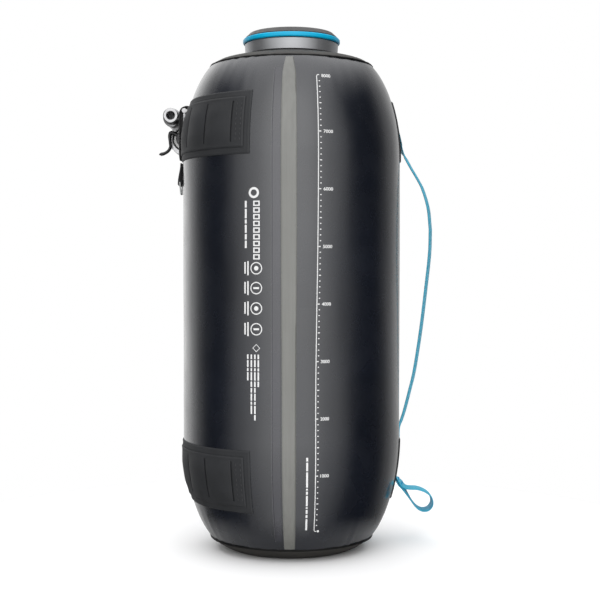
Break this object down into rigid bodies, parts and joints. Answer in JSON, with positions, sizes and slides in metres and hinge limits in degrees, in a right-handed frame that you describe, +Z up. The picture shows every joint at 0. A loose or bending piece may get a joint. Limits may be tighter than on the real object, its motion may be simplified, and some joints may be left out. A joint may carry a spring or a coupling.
{
  "type": "hydration bladder",
  "caption": "Free-standing collapsible water bladder of welded film with a wide-mouth screw cap, lash patches, a webbing side handle with a pull loop, and a rotary tap.",
  "frame": {"origin": "centre of the flat base panel, on the ground the bladder stands on", "axes": "+Z up along the body's axis, -Y out of the printed front, +X towards the strap handle, -X towards the tap"},
  "size_m": [0.2281, 0.1747, 0.412],
  "materials": {
    "film": "satin coated film",
    "tape": "satin welded tape",
    "patch": "matt coated fabric",
    "blue": "woven webbing",
    "black": "woven webbing",
    "neck": "moulded",
    "cap": "satin moulded",
    "cap_top": "satin moulded",
    "ring": "glossy moulded",
    "rubber": "matt",
    "metal": "cast and tumbled",
    "white": "satin moulded",
    "grey": "satin moulded"
  },
  "bodies": {
    "bladder": {"tube_film": "film", "top_end_panel": "film", "bottom_end_panel": "film", "top_weld_ring": "film", "bottom_weld_ring": "film", "lap_seam_tape": "tape", "neck_fitment": "neck", "upper_left_patch": "patch", "lower_left_patch": "patch", "upper_right_patch": "patch", "lower_right_patch": "patch", "upper_left_daisy_chain": "patch", "lower_left_daisy_chain": "patch", "upper_right_strap_tunnel": "patch", "lower_right_strap_tunnel": "patch", "handle_upper_end": "blue", "handle_lower_end": "blue", "port_flange": "neck", "port_gasket": "rubber", "tap_lock_nut": "metal", "valve_body": "metal", "nozzle_tube": "metal", "nozzle_o_ring": "rubber", "core_retaining_ring": "white", "barrel_seal": "rubber", "keeper_pin": "metal", "tap_keeper_strap": "black"},
    "cap_seal": {"cap_gasket": "rubber"},
    "cap": {"cap_shell": "cap", "cap_cover": "cap_top", "cap_grip_ring": "ring", "cap_grip_bar": "cap_top"},
    "tap_lever": {"valve_core": "grey", "lever": "metal", "lever_screw": "metal"},
    "handle": {"handle_strap": "blue"},
    "pull_loop": {"pull_loop": "blue"},
    "tether": {"tether_loop": "black", "tether_ring": "grey"}
  },
  "joints": [
    {"name": "cap_lift", "type": "slide", "parent": "bladder", "child": "cap_seal", "axis": [0, 0, 1], "range_m": [0, 0.06]},
    {"name": "cap_turn", "type": "hinge", "parent": "cap_seal", "child": "cap", "pos_m": [0, 0, 0.41], "axis": [0, 0, 1], "continuous": true},
    {"name": "tap_turn", "type": "hinge", "parent": "bladder", "child": "tap_lever", "pos_m": [-0.0904, 0.04, 0.3325], "axis": [0, -1, 0], "range_deg": [0, 75]},
    {"name": "handle_swing", "type": "hinge", "parent": "bladder", "child": "handle", "pos_m": [0.08636, 0.02153, 0.2115], "axis": [0, 0, 1], "range_deg": [-30, 35]},
    {"name": "pull_loop_swing", "type": "hinge", "parent": "bladder", "child": "pull_loop", "pos_m": [0.08403, 0.02095, 0.0535], "axis": [0.2419, -0.9703, 0], "range_deg": [-45, 50]},
    {"name": "tether_swing", "type": "hinge", "parent": "bladder", "child": "tether", "pos_m": [-0.08845, 0.00309, 0.3085], "axis": [0.0349, 0.9994, 0], "range_deg": [0, 60]}
  ]
}
